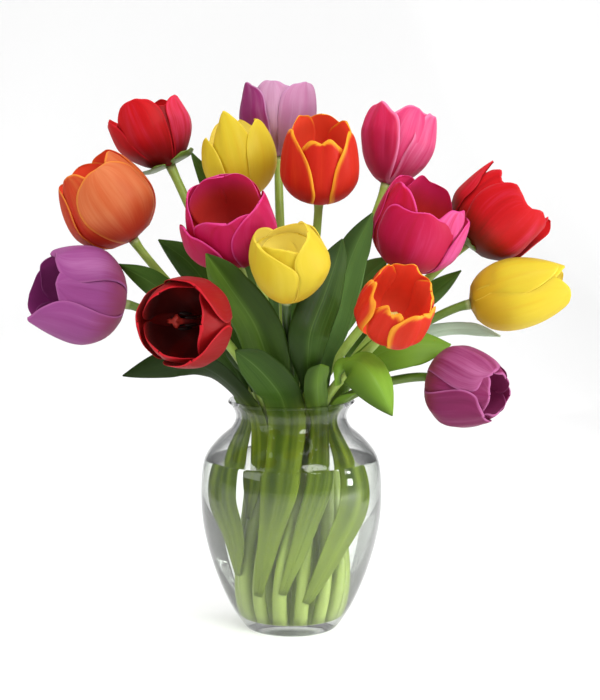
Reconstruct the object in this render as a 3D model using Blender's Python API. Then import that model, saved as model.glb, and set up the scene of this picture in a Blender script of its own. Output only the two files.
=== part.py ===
"""Fifteen cut tulips in a clear glass vase that is part filled with water.

Metres, +Z up, the front at -Y. The origin is the middle of the vase's foot, on the surface that it
stands on. Each tulip is a stem and a bloom, and an open bloom has its pistil inside. The leaves
each start beside the stem that bears them. The water fills the vase around the stems.
"""

import math

import bmesh
import bpy
from mathutils import Matrix, Vector

GAP = 0.0003  # between pieces that touch

# Vase: the outer outline as radius and height, from the foot to the lip
VASE_OUTLINE = [
    (0.0340, 0.0000),
    (0.0385, 0.0035),
    (0.0500, 0.0210),
    (0.0620, 0.0490),
    (0.0708, 0.0820),
    (0.0730, 0.1120),
    (0.0700, 0.1380),
    (0.0600, 0.1530),
    (0.0480, 0.1640),
    (0.0444, 0.1720),
    (0.0464, 0.1790),
    (0.0510, 0.1850),
]
GLASS_WALL = 0.0028
GLASS_FLOOR = 0.0095
FLOOR_RADIUS = 0.0395  # of the flat inside bottom
LIP_MIDDLE = (0.45, 0.35)  # how far in from the outer edge and up the rounded lip peaks, in walls
LEAST_INSIDE_HEIGHT = 0.019  # where the inner wall starts to follow the outer one
VASE_SEGMENTS = 32
POINTS_PER_SPAN = 2  # along the outline
WATER_LEVEL = 0.1385
WATER_EDGE = 0.004  # least height from the last ring of the water's side to its surface
CHANNEL_GROWTH = 0.00068  # of each stem and leaf where the water keeps clear of it

# Stems
STEM_RADIUS = 0.004
STEM_TOP_SCALE = 0.85  # of the radius, under the bloom
STEM_FOOT_SCALE = 1.3  # of the radius, at the cut end
FOOT_LIFT = 0.0018  # of a cut end's middle, so that the slanting end clears the glass
NECK_HEIGHT = 0.174
FOOT_RINGS = {"outer": 0.0240, "inner": 0.0090}
NECK_RINGS = {"outer": 0.0310, "inner": 0.0130}
SPIRAL = 25.0  # degrees that the stems turn round the axis between foot and neck
SPREAD_AT_FOOT = 0.3  # outward lean of a stem as it leaves the floor
RISE_AT_NECK = 1.6  # how much a stem's way through the neck is straight up
NECK_PULL = 0.9  # how long a stem keeps its direction past the neck
BLOOM_PULL = 0.5  # and how early it takes the bloom's
STEPS_BELOW_NECK = 5
STEPS_ABOVE_NECK = 7

# Blooms and their pistils
PETAL_THICKNESS = 0.0012
BLOOM_SEGMENTS = 18
BLOOM_RINGS = (0.0, 0.08, 0.24, 0.55, 1.0)
WIDEST_AT = 0.42  # of the bloom's length
MOUTH_BEND = 1.8  # how late the petals draw in to the mouth
RIM_VALLEY = 0.13  # between two petals, as a part of the bloom's length
RECEPTACLE_RADIUS = 0.0042
PISTIL_SEGMENTS = 8
PISTIL_OUTLINE = [(0.0022, 0.0), (0.0028, 0.006), (0.0026, 0.014), (0.0040, 0.018), (0.0030, 0.021)]

# Leaves
LEAF_THICKNESS = 0.0012
LEAF_CUP = 0.22  # how far the edges turn in, as a part of the half width
LEAF_COLUMNS = 4
LEAF_ROOT_HALF = 0.0030
LEAF_LEAST_HALF = 0.0006
LEAF_ROOT_CLEARANCE = 0.0018  # from the stem's skin to the middle of the blade, besides the gap
ROWS_PER_SPAN = 2
ROWS_TO_TURN = 3  # over which the blade turns from its root's side to the way it looks

# name: bloom base, bloom tip, greatest radius, mouth radius as a part of it, ring, neck azimuth
TULIPS = {
    "pink_top_right": ((0.077, 0.049, 0.357), (0.094, 0.061, 0.416), 0.0300, 0.70, "outer", 48),
    "red_right": ((0.142, 0.033, 0.309), (0.189, 0.027, 0.353), 0.0340, 0.90, "outer", 24),
    "yellow_right": ((0.143, -0.001, 0.263), (0.219, 0.001, 0.279), 0.0271, 0.62, "outer", 2),
    "purple_right": ((0.112, -0.031, 0.207), (0.159, -0.067, 0.199), 0.0300, 0.66, "outer", -20),
    "orange_front": ((0.071, -0.064, 0.248), (0.086, -0.102, 0.286), 0.0272, 0.86, "outer", -48),
    "yellow_front": ((-0.003, -0.070, 0.274), (0.000, -0.098, 0.322), 0.0282, 0.80, "outer", -90),
    "red_front_left": ((-0.068, -0.085, 0.259), (-0.085, -0.136, 0.262), 0.0320, 0.88, "outer", -125),
    "purple_left": ((-0.133, -0.009, 0.264), (-0.199, -0.031, 0.279), 0.0362, 0.80, "outer", -170),
    "orange_left": ((-0.1265, 0.011, 0.314), (-0.1655, 0.009, 0.374), 0.0359, 0.62, "outer", 168),
    "red_top_left": ((-0.099, 0.057, 0.371), (-0.122, 0.063, 0.421), 0.0295, 0.66, "outer", 145),
    "purple_top": ((-0.011, 0.088, 0.378), (-0.011, 0.098, 0.436), 0.0308, 0.74, "outer", 98),
    "orange_top": ((0.022, 0.005, 0.346), (0.024, -0.019, 0.404), 0.0288, 0.78, "inner", 45),
    "magenta_right": ((0.089, 0.003, 0.291), (0.110, -0.013, 0.355), 0.0333, 0.90, "inner", -10),
    "magenta_left": ((-0.0425, -0.028, 0.304), (-0.052, -0.062, 0.351), 0.0335, 0.84, "inner", -134),
    "yellow_top": ((-0.037, 0.042, 0.346), (-0.046, 0.042, 0.408), 0.0275, 0.70, "inner", 140),
}
OPEN_BLOOMS = (
    "red_right",
    "purple_right",
    "orange_front",
    "yellow_front",
    "red_front_left",
    "purple_left",
    "orange_top",
    "magenta_left",
    "magenta_right",
)

# Finishes
GLASS_COLOUR = (0.93, 0.95, 0.94)
WATER_COLOUR = (0.90, 0.95, 0.92)
STEM_COLOUR = (0.16, 0.30, 0.06)
PISTIL_COLOUR = (0.55, 0.55, 0.15)
LEAF_COLOUR = (0.06, 0.16, 0.03)
PLANT_ROUGHNESS = 0.5
PETAL_ROUGHNESS = 0.45
GLASS_ROUGHNESS = 0.03
GLASS_ALPHA = 0.25
BLOOM_COLOURS = {
    "pink": (0.70, 0.10, 0.25),
    "red": (0.52, 0.01, 0.02),
    "yellow": (0.85, 0.62, 0.03),
    "purple": (0.33, 0.08, 0.32),
    "orange": (0.80, 0.17, 0.02),
    "magenta": (0.50, 0.02, 0.13),
}

# name: bearing stem, height of the root on it, side of the stem in degrees, the way the blade's outer
# face looks, then the blade's middle line as x, y, z and half width
LEAVES = {
    "front_left_large": ("yellow_front", 0.186, 215, (-0.3, -1.0, -0.2), [
        (-0.008, -0.051, 0.203, 0.007), (-0.0185, -0.0610, 0.228, 0.018), (-0.029, -0.067, 0.256, 0.0185),
        (-0.048, -0.076, 0.286, 0.0145), (-0.064, -0.079, 0.309, 0.0006)]),
    "front_low": ("yellow_front", 0.035, 245, (-0.1, -1.0, -0.1), [
        (-0.0139, -0.0355, 0.090, 0.009), (-0.0085, -0.0420, 0.122, 0.0135), (-0.0035, -0.0378, 0.170, 0.0148),
        (-0.006, -0.047, 0.190, 0.0155), (-0.012, -0.063, 0.204, 0.0165), (-0.026, -0.077, 0.222, 0.013),
        (-0.042, -0.084, 0.236, 0.0006)]),
    "left_narrow": ("magenta_left", 0.195, 230, (-0.5, -1.0, 0.0), [
        (-0.038, -0.034, 0.218, 0.008), (-0.054, -0.044, 0.242, 0.0006)]),
    "left_low": ("red_front_left", 0.095, 215, (-0.65, -0.75, -0.2), [
        (-0.0268, -0.0225, 0.125, 0.008), (-0.0263, -0.0280, 0.170, 0.009), (-0.037, -0.034, 0.190, 0.010),
        (-0.060, -0.052, 0.2145, 0.0115), (-0.088, -0.058, 0.223, 0.012), (-0.130, -0.058, 0.213, 0.0006)]),
    "centre_front": ("yellow_front", 0.190, 345, (0.2, -1.0, -0.1), [
        (0.0125, -0.0480, 0.207, 0.006), (0.0130, -0.0622, 0.226, 0.0125), (0.0150, -0.0685, 0.248, 0.0165),
        (0.025, -0.053, 0.273, 0.0160), (0.034, -0.037, 0.297, 0.0110), (0.040, -0.031, 0.317, 0.0006)]),
    "centre_tall": ("orange_front", 0.188, 100, (-0.1, 1.0, 0.1), [
        (0.024, -0.025, 0.224, 0.010), (0.031, -0.023, 0.246, 0.014), (0.039, -0.019, 0.276, 0.015),
        (0.049, -0.014, 0.306, 0.012), (0.064, -0.010, 0.336, 0.0006)]),
    "right_behind": ("magenta_right", 0.205, 100, (-0.2, 1.0, 0.0), [
        (0.030, 0.012, 0.232, 0.009), (0.042, 0.018, 0.258, 0.014), (0.060, 0.020, 0.283, 0.011),
        (0.078, 0.021, 0.299, 0.0006)]),
    "front_right_drooping": ("orange_front", 0.203, 280, (0.2, -0.8, 0.5), [
        (0.0370, -0.0500, 0.212, 0.0035), (0.041, -0.062, 0.222, 0.0085), (0.052, -0.077, 0.226, 0.018),
        (0.064, -0.088, 0.213, 0.016), (0.077, -0.092, 0.187, 0.0006)]),
    "front_short": ("orange_front", 0.038, 280, (0.4, -1.0, 0.1), [
        (0.0120, -0.0400, 0.095, 0.008), (0.0215, -0.0400, 0.130, 0.0100), (0.0230, -0.0322, 0.170, 0.0078),
        (0.0213, -0.0443, 0.191, 0.0098), (0.0205, -0.0580, 0.206, 0.0108), (0.0215, -0.0650, 0.217, 0.0095),
        (0.0225, -0.0685, 0.2235, 0.0006)]),
    "right_mouth": ("purple_right", 0.030, -60, (0.7, -0.8, 0.0), [
        (0.0310, -0.0340, 0.072, 0.010), (0.0470, -0.0300, 0.108, 0.0140), (0.0430, -0.0250, 0.140, 0.0105),
        (0.0325, -0.0195, 0.170, 0.0070), (0.0405, -0.028, 0.188, 0.0075), (0.053, -0.040, 0.198, 0.0006)]),
    "right_broad": ("yellow_right", 0.190, -60, (0.2, -0.8, 0.6), [
        (0.048, -0.014, 0.209, 0.009), (0.071, -0.026, 0.227, 0.016), (0.096, -0.030, 0.233, 0.016),
        (0.126, -0.022, 0.233, 0.0006)]),
    "right_upper": ("red_right", 0.200, 80, (0.2, -1.0, 0.0), [
        (0.050, 0.030, 0.218, 0.008), (0.084, 0.037, 0.245, 0.010), (0.113, 0.037, 0.267, 0.009),
        (0.138, 0.033, 0.287, 0.0006)]),
    "right_pale": ("yellow_right", 0.205, 80, (0.1, -0.8, -0.5), [
        (0.067, 0.013, 0.217, 0.007), (0.092, 0.017, 0.230, 0.008), (0.120, 0.017, 0.239, 0.008),
        (0.144, 0.013, 0.241, 0.006), (0.168, 0.008, 0.236, 0.0006)]),
    "left_upper": ("purple_left", 0.186, 250, (-0.2, -1.0, 0.0), [
        (-0.044, -0.024, 0.212, 0.008), (-0.076, -0.026, 0.252, 0.013), (-0.107, -0.022, 0.280, 0.010),
        (-0.136, -0.014, 0.296, 0.0006)]),
    "left_inner": ("orange_left", 0.190, 60, (-0.2, -1.0, 0.0), [
        (-0.040, 0.014, 0.215, 0.009), (-0.057, 0.019, 0.257, 0.015), (-0.080, 0.020, 0.292, 0.013),
        (-0.107, 0.021, 0.313, 0.0006)]),
    "left_behind": ("yellow_top", 0.200, 80, (-0.3, 1.0, -0.2), [
        (-0.023, 0.038, 0.235, 0.011), (-0.037, 0.056, 0.280, 0.0155), (-0.058, 0.070, 0.337, 0.011),
        (-0.083, 0.070, 0.382, 0.0006)]),
    "left_mouth": ("red_front_left", 0.050, 195, (-0.8, -0.7, 0.0), [
        (-0.0390, -0.0125, 0.080, 0.011), (-0.0500, -0.0185, 0.112, 0.0145), (-0.0450, -0.0170, 0.145, 0.0110),
        (-0.0364, -0.0118, 0.170, 0.0072), (-0.040, -0.015, 0.183, 0.006), (-0.045, -0.020, 0.191, 0.0006)]),
    "back_large": ("purple_top", 0.060, 68, (0.1, 1.0, -0.1), [
        (0.0148, 0.0457, 0.110, 0.012), (0.0079, 0.0373, 0.170, 0.013), (0.003, 0.056, 0.210, 0.016),
        (-0.003, 0.080, 0.260, 0.018), (0.004, 0.100, 0.312, 0.0006)]),
    "back_low": ("red_top_left", 0.178, 90, (-0.3, 0.6, -0.7), [
        (-0.030, 0.040, 0.200, 0.008), (-0.048, 0.066, 0.230, 0.015), (-0.064, 0.096, 0.242, 0.013),
        (-0.078, 0.124, 0.224, 0.0006)]),
}


def polar(radius, azimuth, height):
    """The point at this radius and azimuth, in degrees, round the vase's axis."""
    angle = math.radians(azimuth)
    return Vector((radius * math.cos(angle), radius * math.sin(angle), height))


def spline(points, steps):
    """Points on a smooth curve through the given ones, with this many steps between two."""
    points = [Vector(point) for point in points]
    ends = [points[0] * 2 - points[1]] + points + [points[-1] * 2 - points[-2]]
    path = []
    for i in range(1, len(ends) - 2):
        before, start, stop, after = ends[i - 1 : i + 3]
        for step in range(steps):
            t = step / steps
            path.append(
                0.5
                * (
                    start * 2
                    + (stop - before) * t
                    + (before * 2 - start * 5 + stop * 4 - after) * t**2
                    + (start * 3 - before - stop * 3 + after) * t**3
                )
            )
    return path + [points[-1]]


def hermite(start, stop, leave, arrive, steps):
    """Points from start to stop, leaving and arriving along these two vectors, without the last."""
    path = []
    for step in range(steps):
        t = step / steps
        path.append(
            start * (2 * t**3 - 3 * t**2 + 1)
            + leave * (t**3 - 2 * t**2 + t)
            + stop * (3 * t**2 - 2 * t**3)
            + arrive * (t**3 - t**2)
        )
    return path


def material(name, colour, roughness, metallic=0.0, alpha=1.0):
    made = bpy.data.materials.new(name)
    made.use_nodes = True
    surface = made.node_tree.nodes["Principled BSDF"]
    surface.inputs["Base Color"].default_value = (*colour, 1.0)
    surface.inputs["Roughness"].default_value = roughness
    surface.inputs["Metallic"].default_value = metallic
    surface.inputs["Alpha"].default_value = alpha
    return made


def add_object(name, data, look):
    """Places this mesh or curve in the scene under this name, with this material."""
    made = bpy.data.objects.new(name, data)
    data.materials.append(look)
    bpy.context.scene.collection.objects.link(made)
    return made


def mesh_from(name, vertices, faces):
    """A smooth shaded mesh of these vertices and faces, facing out."""
    mesh = bpy.data.meshes.new(name)
    mesh.from_pydata([tuple(vertex) for vertex in vertices], [], faces)
    shape = bmesh.new()
    shape.from_mesh(mesh)
    bmesh.ops.recalc_face_normals(shape, faces=shape.faces)
    shape.to_mesh(mesh)
    shape.free()
    mesh.shade_smooth()
    return mesh


def turned(name, outline, segments):
    """A closed solid: the outline, from the axis at the bottom to the axis at the top, turned round Z."""
    vertices = [(0, 0, outline[0][1])]
    for radius, height in outline[1:-1]:
        vertices += [polar(radius, 360 * i / segments, height) for i in range(segments)]
    vertices.append((0, 0, outline[-1][1]))
    last = len(vertices) - 1
    top = last - segments
    faces = []
    for i in range(segments):
        after = (i + 1) % segments
        faces.append((0, 1 + after, 1 + i))
        for ring in range(1, last - segments, segments):
            faces.append((ring + i, ring + after, ring + segments + after, ring + segments + i))
        faces.append((top + i, top + after, last))
    return mesh_from(name, vertices, faces)


def vase_outer():
    return [(point.x, point.z) for point in spline([(r, 0, z) for r, z in VASE_OUTLINE], POINTS_PER_SPAN)]


def vase_inner():
    """The inner outline, from the floor's edge to the lip: the outer one moved in by the wall."""
    outer = vase_outer()[::POINTS_PER_SPAN]
    inner = []
    for (r0, z0), (r1, z1), (r2, z2) in zip(outer, outer[1:], outer[2:]):
        along = Vector((r2 - r0, z2 - z0)).normalized()
        radius, height = r1 - along.y * GLASS_WALL, z1 + along.x * GLASS_WALL
        if height > LEAST_INSIDE_HEIGHT:
            inner.append((radius, height))
    return [(FLOOR_RADIUS, GLASS_FLOOR)] + inner


def make_vase():
    """A thick-footed glass jar with a round shoulder, a narrow neck and a flared lip."""
    outer, inner = vase_outer(), vase_inner()
    lip_radius, lip_height = outer[-1]
    lip_in, lip_up = LIP_MIDDLE
    lip = [(lip_radius - GLASS_WALL * lip_in, lip_height + GLASS_WALL * lip_up)]
    outline = [(0, 0)] + outer + lip + inner[::-1] + [(0, GLASS_FLOOR)]
    glass = material("clear_glass", GLASS_COLOUR, GLASS_ROUGHNESS, alpha=GLASS_ALPHA)
    return add_object("vase", turned("vase", outline, VASE_SEGMENTS), glass)


def tulip_axis(tulip):
    base, tip = Vector(TULIPS[tulip][0]), Vector(TULIPS[tulip][1])
    return (tip - base).normalized()


def stem_path(tulip):
    """The stem's middle line: up from the vase's floor, through the neck, and out to the bloom."""
    base, _, _, _, ring, azimuth = TULIPS[tulip]
    in_ring = [name for name in TULIPS if TULIPS[name][4] == ring]
    foot_azimuth = azimuth_at_foot(in_ring, tulip) - SPIRAL
    foot = polar(FOOT_RINGS[ring], foot_azimuth, GLASS_FLOOR + FOOT_LIFT)
    neck = polar(NECK_RINGS[ring], azimuth, NECK_HEIGHT)
    axis = tulip_axis(tulip)
    end = Vector(base) - axis * GAP
    bend_end = end - axis * STEM_RADIUS
    rise = (neck - foot).length
    reach = (bend_end - neck).length
    spread = polar(SPREAD_AT_FOOT, foot_azimuth, 1) * rise
    through = (Vector((0, 0, RISE_AT_NECK)) + (bend_end - neck).normalized()).normalized()
    lower = hermite(foot, neck, spread, through * rise, STEPS_BELOW_NECK)
    leave, arrive = through * reach * NECK_PULL, axis * reach * BLOOM_PULL
    upper = hermite(neck, bend_end, leave, arrive, STEPS_ABOVE_NECK)
    return lower + upper + [bend_end, end]


def azimuth_at_foot(in_ring, tulip):
    """Feet stand evenly round their ring, in the order in which the stems pass the neck."""
    share = 360 / len(in_ring)
    return TULIPS[in_ring[0]][5] - share * in_ring.index(tulip)


def stem_radius(height):
    """Below the neck the stems widen towards their feet."""
    return STEM_RADIUS * (1 + (STEM_FOOT_SCALE - 1) * max(0, 1 - height / NECK_HEIGHT))


def make_stem(tulip):
    path = stem_path(tulip)
    curve = bpy.data.curves.new("stem_" + tulip, "CURVE")
    curve.dimensions = "3D"
    curve.bevel_depth = STEM_RADIUS
    curve.bevel_resolution = 2
    curve.use_fill_caps = True
    line = curve.splines.new("POLY")
    line.points.add(len(path) - 1)
    for i, point in enumerate(path):
        line.points[i].co = (*point, 1)
        above_neck = max(0, i - STEPS_BELOW_NECK) / (len(path) - 1 - STEPS_BELOW_NECK)
        narrowing = 1 + (STEM_TOP_SCALE - 1) * above_neck
        line.points[i].radius = stem_radius(point.z) / STEM_RADIUS * narrowing
    look = material("stem_" + tulip, STEM_COLOUR, PLANT_ROUGHNESS)
    return add_object("stem_" + tulip, curve, look)


def bloom_radius(part, greatest, mouth):
    """The bloom's radius at this part of its length: a round belly that draws in to the mouth."""
    if part < WIDEST_AT:
        rise = math.sqrt(1 - (1 - part / WIDEST_AT) ** 2)
        return RECEPTACLE_RADIUS + (greatest - RECEPTACLE_RADIUS) * rise
    fall = ((part - WIDEST_AT) / (1 - WIDEST_AT)) ** MOUTH_BEND
    return greatest * (1 - (1 - mouth) * fall)


def make_bloom(tulip):
    """Six petals grown together at the base as one thin cup, with a point in the rim for each."""
    base, tip, greatest, mouth, _, _ = TULIPS[tulip]
    length = (Vector(tip) - Vector(base)).length
    vertices = [(0, 0, 0)]
    for part in BLOOM_RINGS:
        for i in range(BLOOM_SEGMENTS):
            valley = 0 if i % 3 else RIM_VALLEY * part**2
            height = part * (1 - valley)
            radius = bloom_radius(height, greatest, mouth)
            vertices.append(polar(radius, 360 * i / BLOOM_SEGMENTS, height * length))
    faces = []
    for i in range(BLOOM_SEGMENTS):
        after = (i + 1) % BLOOM_SEGMENTS
        faces.append((0, 1 + after, 1 + i))
        for ring in range(len(BLOOM_RINGS) - 1):
            low = 1 + ring * BLOOM_SEGMENTS
            high = low + BLOOM_SEGMENTS
            faces.append((low + i, low + after, high + after, high + i))
    mesh = mesh_from("bloom_" + tulip, vertices, faces)
    look = material("petal_" + tulip, BLOOM_COLOURS[tulip.split("_")[0]], PETAL_ROUGHNESS)
    bloom = add_object("bloom_" + tulip, mesh, look)
    bloom.matrix_world = placed_on_axis(tulip)
    wall = bloom.modifiers.new("petal thickness", "SOLIDIFY")
    wall.thickness = PETAL_THICKNESS
    wall.offset = -1
    return bloom


def placed_on_axis(tulip):
    """Turns +Z to the tulip's axis and moves the origin to the bloom's base."""
    turn = tulip_axis(tulip).to_track_quat("Z", "Y").to_matrix().to_4x4()
    return Matrix.Translation(TULIPS[tulip][0]) @ turn


def make_pistil(tulip):
    outline = [(0, PISTIL_OUTLINE[0][1])] + PISTIL_OUTLINE + [(0, PISTIL_OUTLINE[-1][1])]
    mesh = turned("pistil_" + tulip, outline, PISTIL_SEGMENTS)
    look = material("pistil_" + tulip, PISTIL_COLOUR, PLANT_ROUGHNESS)
    pistil = add_object("pistil_" + tulip, mesh, look)
    lift = Matrix.Translation((0, 0, PETAL_THICKNESS + GAP))
    pistil.matrix_world = placed_on_axis(tulip) @ lift
    return pistil


def root_of(leaf):
    """The leaf's first point, against its stem, and the side that its outer face looks to."""
    bearer, height, side, _, _ = LEAVES[leaf]
    path = stem_path(bearer)
    for low, high in zip(path, path[1:]):
        if low.z <= height <= high.z:
            middle = low.lerp(high, (height - low.z) / (high.z - low.z))
            break
    outward = polar(1, side, 0)
    return middle + outward * (stem_radius(height) + GAP + LEAF_ROOT_CLEARANCE), outward


def leaf_rows(leaf):
    """Rows of points across the blade, from the root to the tip."""
    looks, line = LEAVES[leaf][3:]
    root, outward = root_of(leaf)
    halves = [LEAF_ROOT_HALF] + [point[3] for point in line]
    middle = spline([root] + [point[:3] for point in line], ROWS_PER_SPAN)
    widths = spline([(half, 0, 0) for half in halves], ROWS_PER_SPAN)
    rows = []
    for i, point in enumerate(middle):
        along = (middle[min(i + 1, len(middle) - 1)] - middle[max(i - 1, 0)]).normalized()
        turned_by = min(1, i / ROWS_TO_TURN)
        face = outward * (1 - turned_by) + Vector(looks).normalized() * turned_by
        face = (face - along * face.dot(along)).normalized()
        across = along.cross(face)
        half = max(widths[i].x, LEAF_LEAST_HALF)
        rows.append([
            point + across * half * u - face * (LEAF_CUP * half * u * u)
            for u in [2 * k / LEAF_COLUMNS - 1 for k in range(LEAF_COLUMNS + 1)]
        ])
    return rows


def make_leaf(leaf):
    rows = leaf_rows(leaf)
    wide = LEAF_COLUMNS + 1
    faces = []
    for row in range(len(rows) - 1):
        for k in range(LEAF_COLUMNS):
            first = row * wide + k
            faces.append((first, first + 1, first + wide + 1, first + wide))
    mesh = mesh_from("leaf_" + leaf, [point for row in rows for point in row], faces)
    blade = add_object("leaf_" + leaf, mesh, material("leaf_" + leaf, LEAF_COLOUR, PLANT_ROUGHNESS))
    thick = blade.modifiers.new("blade thickness", "SOLIDIFY")
    thick.thickness = LEAF_THICKNESS
    thick.offset = 0
    return blade


def make_water(hosts):
    """The vase's inside up to the water level, with a channel around whatever stands in it."""
    inner = [(radius - GAP, height) for radius, height in vase_inner()]
    below = [point for point in inner if point[1] < WATER_LEVEL - WATER_EDGE]
    above = next(point for point in inner if point[1] > WATER_LEVEL)
    low = below[-1]
    share = (WATER_LEVEL - low[1]) / (above[1] - low[1])
    surface_radius = low[0] + (above[0] - low[0]) * share
    bottom = GLASS_FLOOR + GAP
    outline = [(0, bottom), (below[0][0], bottom)] + below[1:]
    outline += [(surface_radius, WATER_LEVEL), (0, WATER_LEVEL)]
    look = material("water", WATER_COLOUR, GLASS_ROUGHNESS, alpha=GLASS_ALPHA)
    water = add_object("water", turned("water", outline, VASE_SEGMENTS), look)
    for host in hosts:
        cut = water.modifiers.new("around " + host.name, "BOOLEAN")
        cut.object = channel_around(host)
        cut.operation = "DIFFERENCE"
    return water


def channel_around(host):
    """A cutter: the stem or leaf as built, grown by the clearance on every side."""
    graph = bpy.context.evaluated_depsgraph_get()
    mesh = bpy.data.meshes.new_from_object(host.evaluated_get(graph))
    shape = bmesh.new()
    shape.from_mesh(mesh)
    bmesh.ops.remove_doubles(shape, verts=shape.verts, dist=1e-6)
    bmesh.ops.recalc_face_normals(shape, faces=shape.faces)
    shape.normal_update()
    grown = [vertex.co + vertex.normal * CHANNEL_GROWTH for vertex in shape.verts]
    for vertex, place in zip(shape.verts, grown):
        vertex.co = place
    shape.to_mesh(mesh)
    shape.free()
    cutter = bpy.data.objects.new("channel_" + host.name, mesh)
    bpy.context.scene.collection.objects.link(cutter)
    cutter.matrix_world = host.matrix_world
    cutter.hide_render = True
    cutter.display_type = "WIRE"
    return cutter


def main():
    for old in list(bpy.data.objects):
        bpy.data.objects.remove(old)
    make_vase()
    stems = [make_stem(tulip) for tulip in TULIPS]
    for tulip in TULIPS:
        make_bloom(tulip)
    for tulip in OPEN_BLOOMS:
        make_pistil(tulip)
    leaves = {leaf: make_leaf(leaf) for leaf in LEAVES}
    wet = [leaves[leaf] for leaf in LEAVES if LEAVES[leaf][1] < WATER_LEVEL]
    make_water(stems + wet)


main()
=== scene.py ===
import math

import bpy
import numpy as np
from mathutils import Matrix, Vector, noise


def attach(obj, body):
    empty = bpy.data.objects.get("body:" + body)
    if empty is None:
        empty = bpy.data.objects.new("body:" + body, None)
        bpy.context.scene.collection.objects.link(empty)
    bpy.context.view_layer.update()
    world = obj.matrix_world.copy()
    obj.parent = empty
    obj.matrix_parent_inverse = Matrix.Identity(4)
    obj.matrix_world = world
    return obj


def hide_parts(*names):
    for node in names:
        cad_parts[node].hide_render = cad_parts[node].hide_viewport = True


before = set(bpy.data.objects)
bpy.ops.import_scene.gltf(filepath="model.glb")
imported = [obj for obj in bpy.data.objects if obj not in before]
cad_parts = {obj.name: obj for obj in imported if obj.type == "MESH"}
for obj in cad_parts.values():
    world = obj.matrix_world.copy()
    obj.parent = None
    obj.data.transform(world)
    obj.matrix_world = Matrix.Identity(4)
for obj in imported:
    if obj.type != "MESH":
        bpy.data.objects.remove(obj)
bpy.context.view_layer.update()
scene = bpy.context.scene


def linear(tint):
    # red, green and blue as they look on a screen, 0 to 255, to the numbers a shader takes
    shares = [c / 255 for c in tint]
    return (*[s / 12.92 if s <= 0.04045 else ((s + 0.055) / 1.055) ** 2.4 for s in shares], 1.0)


class Socket:
    # an output of a node; sums on it add Math nodes
    def __init__(self, shader, output):
        self.shader = shader
        self.output = output

    def maths(self, operation, *values):
        return self.shader.node("Math", {"operation": operation}, dict(enumerate(values)))

    def __add__(self, other):
        return self.maths("ADD", self, other)

    def __sub__(self, other):
        return self.maths("SUBTRACT", self, other)

    def __rsub__(self, other):
        return self.maths("SUBTRACT", other, self)

    def __mul__(self, other):
        return self.maths("MULTIPLY", self, other)

    def __abs__(self):
        return self.maths("ABSOLUTE", self)

    __radd__ = __add__
    __rmul__ = __mul__


class Shader:
    def __init__(self, name):
        self.material = bpy.data.materials.new(name)
        self.material.use_nodes = True
        self.tree = self.material.node_tree
        self.tree.nodes.clear()

    def node(self, kind, settings=None, sockets=None, output=0):
        made = self.tree.nodes.new("ShaderNode" + kind)
        for name, value in (settings or {}).items():
            setattr(made, name, value)
        for name, value in (sockets or {}).items():
            if isinstance(value, Socket):
                self.tree.links.new(value.output, made.inputs[name])
            else:
                made.inputs[name].default_value = value
        return Socket(self, made.outputs[output])

    def attributes(self, *names):
        return [self.node("Attribute", {"attribute_name": name}, output="Fac") for name in names]

    def join(self, x, y, z):
        return self.node("CombineXYZ", {}, {0: x, 1: y, 2: z})

    def place(self):
        return self.node("TexCoord", output="Object")

    def height(self):
        return self.node("SeparateXYZ", {}, {0: self.place()}, "Z")

    def noise(self, vector, scale=1.0, detail=3.0, roughness=0.55):
        sockets = {"Vector": vector, "Scale": scale, "Detail": detail, "Roughness": roughness}
        return self.node("TexNoise", {}, sockets, "Fac")

    def step(self, value, start, end, low=0.0, high=1.0):
        sockets = {"Value": value, "From Min": start, "From Max": end, "To Min": low, "To Max": high}
        return self.node("MapRange", {"interpolation_type": "SMOOTHSTEP"}, sockets)

    def mix(self, factor, first, second):
        return self.node("Mix", {"data_type": "RGBA"}, {0: factor, 6: first, 7: second}, 2)

    def blend(self, factor, first, second):
        return self.node("MixShader", {}, {0: factor, 1: first, 2: second})

    def bump(self, height, distance, strength):
        return self.node("Bump", {}, {"Height": height, "Distance": distance, "Strength": strength})

    def skin(self, colour, sockets):
        return self.node("BsdfPrincipled", {}, {"Base Color": colour, **sockets})

    def finish(self, surface):
        last = self.tree.nodes.new("ShaderNodeOutputMaterial")
        self.tree.links.new(surface.output, last.inputs["Surface"])
        return self.material


def splineThrough(points, steps):
    # rows of numbers on a smooth curve through the given ones
    points = np.array(points, float)
    ends = np.vstack([2 * points[0] - points[1], points, 2 * points[-1] - points[-2]])
    path = []
    for i in range(1, len(ends) - 2):
        before, start, stop, after = ends[i - 1 : i + 3]
        for t in np.arange(steps) / steps:
            bend = (2 * before - 5 * start + 4 * stop - after) * t**2
            path.append((2 * start + (stop - before) * t + bend
                         + (3 * start - before - 3 * stop + after) * t**3) / 2)
    return np.array(path + [points[-1]])


def unit(vectors):
    vectors = np.asarray(vectors, float)
    return vectors / np.maximum(np.linalg.norm(vectors, axis=-1, keepdims=True), 1e-9)


def ramp(values, start, end):
    # 0 up to the start, rising evenly to 1 at the end
    return np.clip((values - start) / (end - start), 0, 1)


def gridNormals(grid):
    along = np.gradient(grid, axis=0)
    across = np.gradient(grid, axis=1)
    return unit(np.cross(across, along))


def gridFaces(rows, columns, wrap=False):
    # quads of a grid of points; wrap joins the last column to the first
    r, c = np.meshgrid(np.arange(rows - 1), np.arange(columns - (not wrap)), indexing="ij")
    after = (c + 1) % columns
    quads = np.stack([r * columns + c, r * columns + after,
                      (r + 1) * columns + after, (r + 1) * columns + c], -1)
    return quads.reshape(-1, 4).tolist()


def makeMesh(name, vertices, faces, attributes=None):
    mesh = bpy.data.meshes.new(name)
    mesh.from_pydata(np.asarray(vertices).tolist(), [], faces)
    mesh.shade_smooth()
    for key, values in (attributes or {}).items():
        mesh.attributes.new(key, "FLOAT", "POINT").data.foreach_set("value", np.ravel(values))
    return mesh


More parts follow.
